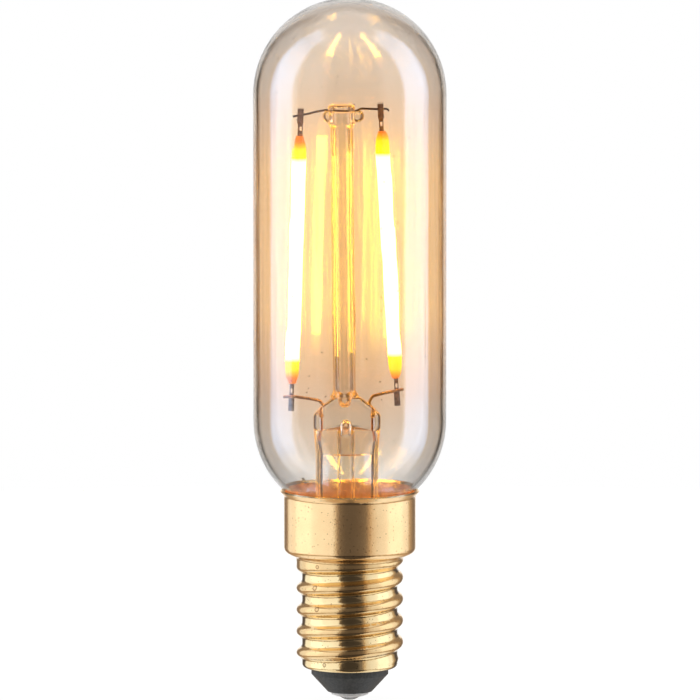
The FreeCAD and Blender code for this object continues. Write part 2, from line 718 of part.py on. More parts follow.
def threaded_tube():
    """The rolled stretch of the shell, closed at both ends by flat rings."""
    walls = [threaded_face(0), threaded_face(SHELL_WALL)]
    rims = [edge for wall in walls for edge in wall.Edges if edge.Closed]
    rings = []
    for height in (THREAD_BOTTOM, THREAD_TOP):
        pair = [Part.Wire([rim]) for rim in rims if abs(rim.BoundBox.ZMin - height) < JOIN_REACH]
        rings.append(Part.makeFace(pair, "Part::FaceMakerBullseye"))
    skin = Part.makeCompound(walls + rings)
    skin.sewShape()
    return Part.Solid(skin.Shells[0])


def cap_shell():
    """The brass shell: curled foot, rolled thread, shoulder, skirt and flared lip, in one sheet."""
    curl = turned_sheet(
        [(THREAD_ROOT_RADIUS - CURL_WIDTH, SHELL_BOTTOM), (THREAD_ROOT_RADIUS, SHELL_BOTTOM),
         (THREAD_ROOT_RADIUS, THREAD_BOTTOM)],
        [CURL_RADIUS],
    )
    skirt = turned_sheet(
        [(THREAD_CREST_RADIUS, THREAD_TOP), (THREAD_CREST_RADIUS, SHOULDER_BOTTOM),
         (SKIRT_RADIUS, SKIRT_BOTTOM), (SKIRT_RADIUS, LIP_START), (LIP_RADIUS, LIP_TOP)],
        [COLLAR_BEND, SHOULDER_ROUND, LIP_BEND],
    )
    return one_solid(threaded_tube().fuse([curl, skirt], JOIN_REACH))


def cap_insulator():
    """The glassy black cone below the brass, with its flange inside the curl and a hole for the wire."""
    flange = THREAD_ROOT_RADIUS - SHELL_WALL - FIT_GAP
    flange_bottom = SHELL_BOTTOM + SHELL_WALL
    return turned_profile([
        (INSULATOR_HOLE_RADIUS, CONTACT_HEIGHT),
        (INSULATOR_TIP_RADIUS, CONTACT_HEIGHT),
        (INSULATOR_BAND_RADIUS, CONTACT_HEIGHT + INSULATOR_CONE),
        (INSULATOR_BAND_RADIUS, flange_bottom),
        (flange - INSULATOR_CHAMFER, flange_bottom),
        (flange, flange_bottom + INSULATOR_CHAMFER),
        (flange, INSULATOR_TOP),
        (INSULATOR_HOLE_RADIUS, INSULATOR_TOP),
    ])


def contact_and_solder(wire):
    """The domed contact plate, and the solder that fixes the wire in it and makes the tip."""
    edge_bottom = CONTACT_HEIGHT - CONTACT_EDGE
    dome_rise = edge_bottom - SOLDER_HEIGHT
    dome_radius = (CONTACT_RADIUS ** 2 + dome_rise ** 2) / (2 * dome_rise)
    dome = arc_about(
        at(0, SOLDER_HEIGHT + dome_radius), at(0, SOLDER_HEIGHT), at(CONTACT_RADIUS, edge_bottom))
    plate = turned(loop_face([
        dome, line(at(CONTACT_RADIUS, edge_bottom), at(CONTACT_RADIUS, CONTACT_HEIGHT)),
        line(at(CONTACT_RADIUS, CONTACT_HEIGHT), at(0, CONTACT_HEIGHT)),
        line(at(0, CONTACT_HEIGHT), at(0, SOLDER_HEIGHT)),
    ]))
    inside = cylinder(HOOKUP_WIRE_RADIUS + SOLDER_DEPTH, 0, CONTACT_HEIGHT)
    plate = plate.cut(inside)
    flat = at(SOLDER_FLAT_RADIUS, 0)
    edge = at(SOLDER_RADIUS, SOLDER_HEIGHT + SOLDER_DEPTH)
    slope = arc(flat, flat.add(edge).multiply(0.5).add(at(0, -SOLDER_BULGE)), edge)
    solder = turned(loop_face([
        line(at(0, 0), flat), slope, line(edge, at(0, edge.z)), line(at(0, edge.z), at(0, 0)),
    ]))
    solder = solder.fuse(inside.common(cylinder(CONTACT_RADIUS, SOLDER_HEIGHT, CONTACT_HEIGHT)))
    return one_solid(plate), one_solid(solder.cut([plate, wire]))


def centre_wire():
    """From the fusible resistor's foot through the board's notch and the insulator to the tip."""
    y = BOARD_BACK + FUSE_RADIUS
    start = INSULATOR_TOP + FUSE_LIFT
    points = [
        V(0, y, start), V(0, y, start - CENTRE_WIRE_DROP),
        V(0, 0, INSULATOR_TOP + HOOKUP_WIRE_RADIUS), V(0, 0, SOLDER_DEPTH),
    ]
    return wire_solid(points, HOOKUP_WIRE_RADIUS, HOOKUP_BEND)


def driver_board():
    board = block(BOARD_WIDTH, BOARD_THICKNESS, BOARD_HEIGHT, 0, 0, INSULATOR_TOP)
    notch = block(BOARD_NOTCH_WIDTH, 2 * BOARD_THICKNESS, BOARD_NOTCH_HEIGHT, 0, 0, INSULATOR_TOP)
    return one_solid(board.cut(notch))


def board_package(width, height, thickness, x, lift, lower_pins, upper_pins):
    """A moulded part on the board's front, with flat pins above and below it."""
    bottom = INSULATOR_TOP + lift
    body = block(width, thickness, height, x, BOARD_FRONT - thickness / 2, bottom)
    pins = []
    for count, foot in ((lower_pins, bottom - PIN_REACH), (upper_pins, bottom + height)):
        for index in range(count):
            pin_x = x + (index - (count - 1) / 2) * PIN_SPACING
            pin_y = BOARD_FRONT - PIN_THICKNESS / 2
            pins.append(block(PIN_WIDTH, PIN_THICKNESS, PIN_REACH, pin_x, pin_y, foot))
    return one_solid(body.fuse(pins)) if pins else body


def smoothing_capacitor():
    """The round can on the board's back, with its two leads bent to the board."""
    y = BOARD_BACK + CAPACITOR_RADIUS
    bottom = INSULATOR_TOP + CAPACITOR_LIFT
    can = cylinder(CAPACITOR_RADIUS, bottom, bottom + CAPACITOR_HEIGHT, 0, y)
    can = can.makeFillet(CAPACITOR_EDGE_ROUND, [edge for edge in can.Edges if edge.Closed])
    leads = []
    for x in (-CAPACITOR_LEAD_SPREAD, CAPACITOR_LEAD_SPREAD):
        knee = V(x, y, bottom - CAPACITOR_LEAD_DROP)
        points = [V(x, y, bottom + CAPACITOR_EDGE_ROUND), knee, V(x, BOARD_BACK, knee.z)]
        leads.append(wire_solid(points, HOOKUP_WIRE_RADIUS, HOOKUP_WIRE_RADIUS * 2))
    return one_solid(can.fuse(leads))


def fusible_resistor():
    """The small round resistor on the board's back, above the contact's wire."""
    y = BOARD_BACK + FUSE_RADIUS
    bottom = INSULATOR_TOP + FUSE_LIFT
    top = bottom + FUSE_LENGTH
    body = cylinder(FUSE_RADIUS, bottom, top, 0, y)
    body = body.makeFillet(FUSE_END_ROUND, [edge for edge in body.Edges if edge.Closed])
    knee = V(0, y, top + FUSE_LEAD_RISE)
    points = [V(0, y, top - FUSE_END_ROUND), knee, V(0, BOARD_BACK, knee.z)]
    return one_solid(body.fuse(wire_solid(points, HOOKUP_WIRE_RADIUS, HOOKUP_WIRE_RADIUS * 2)))


def insulating_sleeve():
    outside = cylinder(SLEEVE_RADIUS, INSULATOR_TOP, INSULATOR_TOP + SLEEVE_HEIGHT)
    inside = cylinder(SLEEVE_RADIUS - SLEEVE_WALL, INSULATOR_TOP, INSULATOR_TOP + SLEEVE_HEIGHT)
    return outside.cut(inside)


def neutral_wire():
    """The flattened wire up the back of the neck to the lip, and its run in to the board."""
    top = LIP_TOP + NEUTRAL_WIRE_TAIL
    slant = math.tan(math.radians(NEUTRAL_WIRE_SLANT))
    foot_x = NEUTRAL_WIRE_X + (top - NEUTRAL_WIRE_FOOT) * slant
    half = NEUTRAL_WIRE_WIDTH / 2 / math.cos(math.radians(NEUTRAL_WIRE_SLANT))
    strip = polygon_face([
        V(NEUTRAL_WIRE_X - half, 0, top), V(NEUTRAL_WIRE_X + half, 0, top),
        V(foot_x + half, 0, NEUTRAL_WIRE_FOOT), V(foot_x - half, 0, NEUTRAL_WIRE_FOOT),
    ]).extrude(V(0, BULB_RADIUS, 0))
    outside = glass_body(-NEUTRAL_WIRE_GAP - NEUTRAL_WIRE_THICKNESS)
    flat = strip.common(outside).cut(glass_body(-NEUTRAL_WIRE_GAP))
    middle = NECK_RADIUS + NEUTRAL_WIRE_GAP + NEUTRAL_WIRE_THICKNESS / 2
    foot_y = math.sqrt(middle ** 2 - foot_x ** 2)
    face = BOARD_BACK + OUTER_LEAD_RADIUS
    x = -NEUTRAL_LANDING_SPREAD
    run = wire_solid([
        V(foot_x, foot_y + OUTER_LEAD_RADIUS, NEUTRAL_WIRE_FOOT),
        V(foot_x, foot_y + OUTER_LEAD_RADIUS, NECK_BOTTOM - HOOKUP_BEND),
        V(x, face + HOOKUP_BEND, BOARD_TOP + HOOKUP_BEND), V(x, face, BOARD_TOP - HOOKUP_BEND),
        V(x, face, BOARD_TOP - BOARD_LEAD_OVERLAP),
    ], OUTER_LEAD_RADIUS, OUTER_LEAD_RADIUS * 3)
    return one_solid(flat.fuse(run))


def basing_cement(shell, wire):
    """The cement between the glass neck and the skirt."""
    top = LIP_TOP - CEMENT_TOP_GAP
    ring = cylinder(SKIRT_RADIUS - SHELL_WALL / 2, CEMENT_BOTTOM, top)
    return one_solid(ring.cut([glass_body(0), shell, wire]))


def save(node, shape):
    assert shape.isValid(), node
    shape.exportStep(os.path.join("parts", node + ".step"))


def main():
    os.makedirs("parts", exist_ok=True)
    nodes = {"glass_envelope": glass_envelope(), "top_support_wire": support_wire()}
    held = [nodes["top_support_wire"]]
    for side in ("left", "right"):
        lead = inner_lead(side)
        seal = one_solid(seal_wire(side).cut(lead))
        outer = outer_lead(side)
        nodes["inner_lead_" + side] = lead
        nodes["seal_wire_" + side] = seal
        nodes["outer_lead_" + side] = outer
        held += [lead, seal, outer]
        nodes.update(filament_nodes(side))
    nodes["glass_stem"] = glass_stem(held)
    nodes["cap_shell"] = cap_shell()
    nodes["neutral_wire"] = neutral_wire()
    nodes["basing_cement"] = basing_cement(nodes["cap_shell"], nodes["neutral_wire"])
    nodes["cap_insulator"] = cap_insulator()
    nodes["centre_wire"] = centre_wire()
    nodes["centre_contact"], nodes["contact_solder"] = contact_and_solder(nodes["centre_wire"])
    nodes["driver_board"] = driver_board()
    nodes["bridge_rectifier"] = board_package(
        RECTIFIER_WIDTH, RECTIFIER_HEIGHT, RECTIFIER_THICKNESS, 0, RECTIFIER_LIFT, 2, 2)
    nodes["current_regulator"] = board_package(
        REGULATOR_WIDTH, REGULATOR_HEIGHT, REGULATOR_THICKNESS, 0, REGULATOR_LIFT, 3, 1)
    nodes["current_set_resistor"] = board_package(
        SET_RESISTOR_WIDTH, SET_RESISTOR_HEIGHT, SET_RESISTOR_THICKNESS, SET_RESISTOR_X,
        SET_RESISTOR_LIFT, 0, 0)
    nodes["smoothing_capacitor"] = smoothing_capacitor()
    nodes["fusible_resistor"] = fusible_resistor()
    nodes["insulating_sleeve"] = insulating_sleeve()
    for node, shape in nodes.items():
        save(node, shape)
        print(node, len(shape.Solids), round(shape.Volume, 3))


main()
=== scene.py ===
"""Looks of the tubular filament lamp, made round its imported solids. Lengths are in metres."""
import bpy
import math
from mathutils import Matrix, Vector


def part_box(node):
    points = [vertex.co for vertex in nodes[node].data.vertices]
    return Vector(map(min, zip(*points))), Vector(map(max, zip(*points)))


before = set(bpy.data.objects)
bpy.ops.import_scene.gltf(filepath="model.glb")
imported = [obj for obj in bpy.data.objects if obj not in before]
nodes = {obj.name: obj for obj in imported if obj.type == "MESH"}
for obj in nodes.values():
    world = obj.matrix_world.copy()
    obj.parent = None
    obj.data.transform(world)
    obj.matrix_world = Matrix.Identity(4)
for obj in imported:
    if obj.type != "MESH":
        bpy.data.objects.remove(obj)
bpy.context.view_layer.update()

MM = 0.001

# Camera: the lamp's place in the square photo, in pixels, and the height that the photo takes in
PHOTO_SIZE = 700
AXIS_COLUMN = 349.8
TIP_ROW = 700.5
FRAME_HEIGHT = 90.65 * MM
ELEVATION = math.radians(6.5)

# A long lens and its sensor, both in millimetres, and the distances between which the camera sees
LENS = 525
SENSOR = 36
SEEN_FROM = 0.1
SEEN_TO = 100

# Light may pass many walls of glass before it is lost
BOUNCES = 24
GLOSSY_BOUNCES = 12

# Sockets of a Mix node that mixes colours
FIRST_COLOUR = 6
SECOND_COLOUR = 7
MIXED_COLOUR = 2

# Multiplied with a place, it leaves the height out
WITHOUT_HEIGHT = (1, 1, 0)

# Nearly all values of a noise pattern lie between these
NOISE_LOW = 0.3
NOISE_HIGH = 0.7


def colour(code):
    """A linear colour from sRGB hex."""
    channels = [int(code[start:start + 2], 16) / 255 for start in (1, 3, 5)]
    linear = [c / 12.92 if c <= 0.04045 else ((c + 0.055) / 1.055) ** 2.4 for c in channels]
    return (*linear, 1)


def grey(level):
    """The hex grey whose linear value is a level from 0 to 1."""
    share = level * 12.92 if level <= 0.0031308 else 1.055 * level ** (1 / 2.4) - 0.055
    return "#" + f"{round(share * 255):02X}" * 3


def feed(tree, node, inputs):
    """Sets a node's inputs to values, or links them to outputs."""
    for name, value in inputs.items():
        if isinstance(value, bpy.types.NodeSocket):
            tree.links.new(value, node.inputs[name])
        else:
            node.inputs[name].default_value = value


def add(tree, kind, inputs=None, stops=None, **settings):
    """Adds a node with its settings and links, and gives its outputs.

    A colour ramp also has its stops, each a place from 0 to 1 and a hex colour.
    """
    node = tree.nodes.new("ShaderNode" + kind)
    for name, value in settings.items():
        setattr(node, name, value)
    feed(tree, node, inputs or {})
    if stops:
        elements = node.color_ramp.elements
        elements.remove(elements[1])
        elements[0].position = stops[0][0]
        elements[0].color = colour(stops[0][1])
        for place, code in stops[1:]:
            elements.new(place).color = colour(code)
    return node.outputs


def new_material(name):
    """A material with a Principled shader, and its tree, shader and Object coordinates."""
    material = bpy.data.materials.new(name)
    material.use_nodes = True
    tree = material.node_tree
    shader = tree.nodes["Principled BSDF"]
    place = add(tree, "TexCoord")["Object"]
    return material, tree, shader, place


def pattern_scale(size):
    """The scale of a pattern on Object coordinates whose features are about that long."""
    return 1 / size


def colour_over(tree, value, low, high, plan):
    """The colour that a plan gives for a value. Its stops are places from low to high, and hex colours."""
    share = add(tree, "MapRange", {"Value": value, "From Min": low, "From Max": high})["Result"]
    stops = [((place - low) / (high - low), code) for place, code in plan]
    return add(tree, "ValToRGB", {"Fac": share}, stops)["Color"]


def level_over(tree, value, low, high, plan):
    """The level that a plan gives for a value. Its stops are places from low to high, and linear levels."""
    return colour_over(tree, value, low, high, [(place, grey(level)) for place, level in plan])


def distance_from_axis(tree, place):
    flat = add(tree, "VectorMath", {0: place, 1: WITHOUT_HEIGHT}, operation="MULTIPLY")["Vector"]
    return add(tree, "VectorMath", {0: flat}, operation="LENGTH")["Value"]


def round_the_axis(tree, place, radius, stretch):
    """A pattern place that turns with the surface and is drawn out along the axis."""
    flat = add(tree, "VectorMath", {0: place, 1: WITHOUT_HEIGHT}, operation="MULTIPLY")["Vector"]
    outwards = add(tree, "VectorMath", {0: flat}, operation="NORMALIZE")["Vector"]
    ring = add(tree, "VectorMath", {0: outwards, "Scale": radius}, operation="SCALE")["Vector"]
    along = add(tree, "VectorMath", {0: place, 1: (0, 0, 1 / stretch)}, operation="MULTIPLY")["Vector"]
    return add(tree, "VectorMath", {0: ring, 1: along}, operation="ADD")["Vector"]


def specks(tree, place, spacing, size, share):
    """A mask of small round specks, about that far apart. Only a share of the places has one."""
    cells = add(tree, "TexVoronoi", {"Vector": place, "Scale": pattern_scale(spacing)})
    near = add(tree, "Math", {0: cells["Distance"], 1: size / spacing / 2}, operation="LESS_THAN")[0]
    drawn = add(tree, "SeparateColor", {"Color": cells["Color"]})["Red"]
    chosen = add(tree, "Math", {0: drawn, 1: share}, operation="LESS_THAN")[0]
    return add(tree, "Math", {0: near, 1: chosen}, operation="MULTIPLY")[0]


# Glass: its IOR, and half the thickness of the amber tube's wall
GLASS_IOR = 1.5
GLASS_MIDWALL = 0.3 * MM

# Tint of the amber lustre at heights above the contact's tip
LUSTRE_BY_HEIGHT = [
    (29 * MM, "#F8F5F2"), (35 * MM, "#F1E4D6"), (41 * MM, "#F5DFC8"), (50 * MM, "#FDE9C8"),
    (68 * MM, "#FDE9C8"), (77 * MM, "#FAE7D2"), (86 * MM, "#F5ECE3"),
]

# Dust and seeds in the glass, drawn as coarse as they need to show
DUST_COLOUR = "#7A5A40"
DUST_SPACING = 1.9 * MM
DUST_SIZE = 0.22 * MM
DUST_SHARE = 0.3

# Lines left by drawing the tube: their width, how many times longer they are, the heights where they
# show, and the values of their pattern at which the painted halo along them is none and full
DRAWN_WIDTH = 0.9 * MM
DRAWN_STRETCH = 20
DRAWN_BY_HEIGHT = [(38 * MM, 0), (48 * MM, 1), (74 * MM, 1), (80 * MM, 0)]
DRAWN_DIM = 0.3
DRAWN_BRIGHT = 0.52

# Painted light: an emission on the glass that stands in for the filaments' light spread by the lustre,
# a faint glow all round and a painted halo in front of and behind each filament. Places across are
# from the axis, and to the right above 0.
PAINTED_GLOW_BY_HEIGHT = [(38 * MM, 0), (50 * MM, 1), (68 * MM, 1), (80 * MM, 0)]
PAINTED_GLOW_STRENGTH = 0.05
PAINTED_GLOW_COLOUR = "#FF9500"
PAINTED_HALO_BY_HEIGHT = [(46 * MM, 0), (49 * MM, 1), (70 * MM, 1), (74 * MM, 0)]
PAINTED_HALO_ACROSS = [
    (-7.6 * MM, 0), (-7 * MM, 1), (-4.3 * MM, 1), (-3.4 * MM, 0),
    (1.4 * MM, 0), (1.9 * MM, 1), (6.8 * MM, 1), (7.6 * MM, 0),
]
PAINTED_HALO_STRENGTH = 0.19
PAINTED_HALO_COLOUR = "#FFF03C"

# Relief of the blown wall: long waves, small puckers that deepen up the dome, and the drawn lines, which
# the lustre shows much more strongly than the glass does
WAVE_LENGTH = 6 * MM
WAVE_DEPTH = 0.036 * MM
PUCKER_LENGTH = 2.2 * MM
PUCKER_DEPTH = 0.042 * MM
PUCKERS_FROM = 79 * MM
PUCKERS_FULL = 88 * MM
DRAWN_DEPTH = 0.018 * MM
DRAWN_LUSTRE_DEPTH = 0.45 * MM


def amber_glass():
    """Blown soda-lime glass, drawn into a tube, with an amber lustre on its inner wall.

    It looks thin, clear and faintly wavy, is warmest at mid-height, and has a painted glow beside the
    filaments.
    """
    material, tree, shader, place = new_material("blown_amber_glass")
    low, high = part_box("glass_envelope")
    radius = high.x
    parts = add(tree, "SeparateXYZ", {"Vector": place})
    height = parts["Z"]
    lustre = colour_over(tree, height, low.z, high.z, LUSTRE_BY_HEIGHT)
    dust = specks(tree, place, DUST_SPACING, DUST_SIZE, DUST_SHARE)
    tint = add(tree, "Mix", {
        "Factor": dust, FIRST_COLOUR: lustre, SECOND_COLOUR: colour(DUST_COLOUR),
    }, data_type="RGBA")[MIXED_COLOUR]

    # Lines along the inner wall, from a pattern that goes on through it
    drawn = add(tree, "TexNoise", {
        "Vector": round_the_axis(tree, place, radius, DRAWN_STRETCH),
        "Scale": pattern_scale(DRAWN_WIDTH), "Detail": 1.0,
    })["Fac"]
    distance = distance_from_axis(tree, place)
    inside = add(tree, "Math", {0: distance, 1: radius - GLASS_MIDWALL}, operation="LESS_THAN")[0]
    lines = drawn
    for share in (inside, level_over(tree, height, low.z, high.z, DRAWN_BY_HEIGHT)):
        lines = add(tree, "Math", {0: lines, 1: share}, operation="MULTIPLY")[0]

    # Painted light, standing in for the filaments' light that the lustre spreads: a glow by height, and a
    # halo along the drawn lines near each filament
    painted_halo = add(tree, "MapRange", {"Value": drawn, "From Min": DRAWN_DIM, "From Max": DRAWN_BRIGHT})["Result"]
    near_filament = level_over(tree, parts["X"], low.x, high.x, PAINTED_HALO_ACROSS)
    at_filament_height = level_over(tree, height, low.z, high.z, PAINTED_HALO_BY_HEIGHT)
    for share in (inside, near_filament, at_filament_height):
        painted_halo = add(tree, "Math", {0: painted_halo, 1: share}, operation="MULTIPLY")[0]
    glow = level_over(tree, height, low.z, high.z, PAINTED_GLOW_BY_HEIGHT)
    painted_halo_light = add(tree, "Math", {0: painted_halo, 1: PAINTED_HALO_STRENGTH}, operation="MULTIPLY")[0]
    # The strength of the painted glow and halo
    light = add(tree, "Math", {0: glow, 1: PAINTED_GLOW_STRENGTH, 2: painted_halo_light}, operation="MULTIPLY_ADD")[0]
    painted_light_colour = add(tree, "Mix", {
        "Factor": painted_halo, FIRST_COLOUR: colour(PAINTED_GLOW_COLOUR), SECOND_COLOUR: colour(PAINTED_HALO_COLOUR),
    }, data_type="RGBA")[MIXED_COLOUR]

    # Relief, added up in metres
    waves = add(tree, "TexNoise", {
        "Vector": place, "Scale": pattern_scale(WAVE_LENGTH), "Detail": 1.0,
    })["Fac"]
    puckers = add(tree, "TexNoise", {"Vector": place, "Scale": pattern_scale(PUCKER_LENGTH)})["Fac"]
    domed = add(tree, "MapRange", {
        "Value": height, "From Min": PUCKERS_FROM, "From Max": PUCKERS_FULL,
    })["Result"]
    dome_puckers = add(tree, "Math", {0: puckers, 1: domed}, operation="MULTIPLY")[0]
    relief = add(tree, "Math", {0: waves, 1: WAVE_DEPTH}, operation="MULTIPLY")[0]
    for pattern, depth in ((dome_puckers, PUCKER_DEPTH), (lines, DRAWN_DEPTH)):
        relief = add(tree, "Math", {0: pattern, 1: depth, 2: relief}, operation="MULTIPLY_ADD")[0]

    feed(tree, shader, {
        "Base Color": tint,
        "Transmission Weight": 1,
        "Roughness": 0,
        "IOR": GLASS_IOR,
        "Coat Weight": 0.28,
        "Coat IOR": 2,
        "Coat Roughness": 0.2,
        "Coat Normal": add(tree, "Bump", {"Height": lines, "Distance": DRAWN_LUSTRE_DEPTH})["Normal"],
        # Painted light: the glass glows, though it is no lamp
        "Emission Strength": light,
        "Emission Color": painted_light_colour,
        "Normal": add(tree, "Bump", {"Height": relief, "Distance": 1})["Normal"],
    })
    return material


# Clear glass of the stem: its painted edge light, an emission that stands in for the filaments' light its
# edges catch, at heights above the contact's tip, how closely that keeps to the edges, and its soft waves
PAINTED_EDGE_LIGHT_BY_HEIGHT = [(36 * MM, 0.5), (42 * MM, 0.4), (72 * MM, 0.4), (74 * MM, 0.95)]
PAINTED_EDGE_LIGHT_COLOUR = "#FFB44A"
EDGE_SHARPNESS = 2.5
STEM_WAVE_LENGTH = 1.6 * MM
STEM_WAVE_DEPTH = 0.03 * MM


def clear_glass():
    """Pressed and drawn clear glass: faint waves, and a warm glow painted on its edges, standing in for the
    filaments' light that they catch.
    """
    material, tree, shader, place = new_material("clear_stem_glass")
    low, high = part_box("glass_stem")
    height = add(tree, "SeparateXYZ", {"Vector": place})["Z"]
    lit = level_over(tree, height, low.z, high.z, PAINTED_EDGE_LIGHT_BY_HEIGHT)
    facing = add(tree, "LayerWeight", {"Blend": 0.5})["Facing"]
    edges = add(tree, "Math", {0: facing, 1: EDGE_SHARPNESS}, operation="POWER")[0]
    waves = add(tree, "TexNoise", {"Vector": place, "Scale": pattern_scale(STEM_WAVE_LENGTH)})["Fac"]
    feed(tree, shader, {
        "Base Color": colour("#FDFAF4"),
        "Transmission Weight": 1,
        "Roughness": 0,
        "IOR": GLASS_IOR,
        # Painted edge light: the stem glows, though it is no lamp
        "Emission Strength": add(tree, "Math", {0: edges, 1: lit}, operation="MULTIPLY")[0],
        "Emission Color": colour(PAINTED_EDGE_LIGHT_COLOUR),
        "Normal": add(tree, "Bump", {"Height": waves, "Distance": STEM_WAVE_DEPTH})["Normal"],
    })
    return material


# Radii of the brass, and the tone there: the thread's root, low on its flank, its crest, and the skirt
THREAD_ROOT = 6.2 * MM
THREAD_CREST = 6.95 * MM
THREAD_FLANK = THREAD_ROOT + 0.35 * (THREAD_CREST - THREAD_ROOT)
SKIRT_RADIUS = 8.55 * MM
BRASS_BY_RADIUS = [
    (THREAD_ROOT, "#F8E4B4"), (THREAD_FLANK, "#F2D6A2"),
    (THREAD_CREST, "#E9CC9A"), (SKIRT_RADIUS, "#FADAA8"),
]

# Tarnish in soft clouds: its colour, their size, its greatest share, and the values of their pattern
# where it has that share and where it ends
TARNISH_COLOUR = "#C98F52"
TARNISH_CLOUD = 3 * MM
TARNISH_SHARE = 0.16
TARNISH_FULL = 0.35
TARNISH_END = 0.7

# The satin grain is finer on the real sheet. It is drawn as coarse as it needs to show. The roughness
# varies with it, and is greater towards the crests of the thread, which wear.
BRASS_GRAIN = 0.25 * MM
BRASS_GRAIN_DEPTH = 0.008 * MM
LEAST_ROUGH = 0.06
MOST_ROUGH = 0.13
CREST_WEAR = 0.07

# Old stains, in millimetres: across, towards the camera, height and reach
STAINS = [
    (-4.2, 5.5, 18.05, 0.3), (-4.56, 5.18, 15.31, 0.42), (-4.3, 5.4, 12.55, 0.42), (-3.3, 5.25, 5.23, 0.3),
]

# How dark a stain is, from its centre at 0 to its edge at 1
STAIN_RING = [(0, 0.35), (0.45, 0.3), (0.7, 1), (0.85, 0.9), (1, 0)]
MARK_COLOUR = "#6B4420"
STAIN_DARKNESS = 0.75

# Pits of the same colour, drawn as coarse as they need to show
PIT_SPACING = 0.42 * MM
PIT_SIZE = 0.15 * MM
PIT_SHARE = 0.5
PIT_DARKNESS = 0.6

# Deep in the thread's grooves a dark colour is painted in: painted shade, a dark reflection that stands
# in for the brass mirroring the groove and not the studio. This starts at the first radius and is full at
# the second.
GROOVE_FROM = 6.388 * MM
GROOVE_FULL = 6.2705 * MM
PAINTED_GROOVE_SHADE_COLOUR = "#2E2014"

# The painted shade shows on brass that is seen edge-on or head-on. A turn away from the eye is 0 head-on
# and 1 edge-on: the turn where it starts, the turn from which it is full, and its share there.
PAINTED_SHADE_EDGE_ON = (0.6, 0.7, 0.85)
PAINTED_SHADE_HEAD_ON = (0.036, 0.024, 0.6)


def stained(tree, place):
    """A mask of ringed stains, darkest just inside their edges."""
    mask = 0
    for across, towards, height, reach in STAINS:
        centre = (across * MM, -towards * MM, height * MM)
        gap = add(tree, "VectorMath", {0: place, 1: centre}, operation="DISTANCE")["Value"]
        plan = [(share * reach * MM, level) for share, level in STAIN_RING]
        ring = level_over(tree, gap, 0, reach * MM, plan)
        mask = add(tree, "Math", {0: ring, 1: mask}, operation="MAXIMUM")[0]
    return mask


def groove_gloss(tree, distance):
    """The share of painted shade, a dark reflection, in the thread's grooves."""
    turn = add(tree, "LayerWeight", {"Blend": 0.5})["Facing"]
    shown = 0
    for start, full, share in (PAINTED_SHADE_EDGE_ON, PAINTED_SHADE_HEAD_ON):
        dark = add(tree, "MapRange", {
            "Value": turn, "From Min": start, "From Max": full, "To Max": share,
        })["Result"]
        shown = add(tree, "Math", {0: dark, 1: shown}, operation="MAXIMUM")[0]
    deep = add(tree, "MapRange", {
        "Value": distance, "From Min": GROOVE_FROM, "From Max": GROOVE_FULL,
    })["Result"]
    return add(tree, "Math", {0: shown, 1: deep}, operation="MULTIPLY")[0]


def rolled_brass():
    """Thin brass sheet, drawn and rolled: bright gold with a satin grain, dark pits, old stains, and painted
    shade deep in the thread's grooves.
    """
    material, tree, shader, place = new_material("rolled_brass")
    distance = distance_from_axis(tree, place)
    clouds = add(tree, "TexNoise", {
        "Vector": place, "Scale": pattern_scale(TARNISH_CLOUD), "Detail": 4.0,
    })["Fac"]
    grain = add(tree, "TexNoise", {
        "Vector": place, "Scale": pattern_scale(BRASS_GRAIN), "Detail": 3.0,
    })["Fac"]
    tarnish = add(tree, "MapRange", {
        "Value": clouds, "From Min": TARNISH_END, "From Max": TARNISH_FULL, "To Max": TARNISH_SHARE,
    })["Result"]
    pitted = specks(tree, place, PIT_SPACING, PIT_SIZE, PIT_SHARE)
    pits = add(tree, "Math", {0: pitted, 1: PIT_DARKNESS}, operation="MULTIPLY")[0]
    stains = add(tree, "Math", {0: stained(tree, place), 1: STAIN_DARKNESS}, operation="MULTIPLY")[0]
    marks = add(tree, "Math", {0: pits, 1: stains}, operation="MAXIMUM")[0]

    brass = colour_over(tree, distance, THREAD_ROOT, SKIRT_RADIUS, BRASS_BY_RADIUS)
    # Tarnish, marks and the painted shade in the grooves, over the brass
    for share, code in (
        (tarnish, TARNISH_COLOUR), (marks, MARK_COLOUR), (groove_gloss(tree, distance), PAINTED_GROOVE_SHADE_COLOUR),
    ):
        brass = add(tree, "Mix", {
            "Factor": share, FIRST_COLOUR: brass, SECOND_COLOUR: colour(code),
        }, data_type="RGBA")[MIXED_COLOUR]

    wear = add(tree, "MapRange", {
        "Value": distance, "From Min": THREAD_ROOT, "From Max": THREAD_CREST, "To Max": CREST_WEAR,
    })["Result"]
    satin = add(tree, "MapRange", {
        "Value": grain, "From Min": NOISE_LOW, "From Max": NOISE_HIGH,
        "To Min": LEAST_ROUGH, "To Max": MOST_ROUGH,
    })["Result"]
    feed(tree, shader, {
        "Base Color": brass,
        "Metallic": 1,
        "Roughness": add(tree, "Math", {0: wear, 1: satin}, operation="ADD")[0],
        "Normal": add(tree, "Bump", {"Height": grain, "Distance": BRASS_GRAIN_DEPTH})["Normal"],
    })
    return material


# Cement: its tones from low to high on its lumps, and painted light, an emission that stands in for the
# filaments' light falling on it
CEMENT_TONES = [(NOISE_LOW, "#E08C42"), (0.5, "#FCB46C"), (NOISE_HIGH, "#FFD094")]
CEMENT_LUMP = 1.2 * MM
CEMENT_LUMP_DEPTH = 0.08 * MM
CEMENT_PAINTED_LIGHT_COLOUR = "#FFA060"
CEMENT_LEAST_PAINTED_LIGHT = 0.16
CEMENT_MOST_PAINTED_LIGHT = 0.44


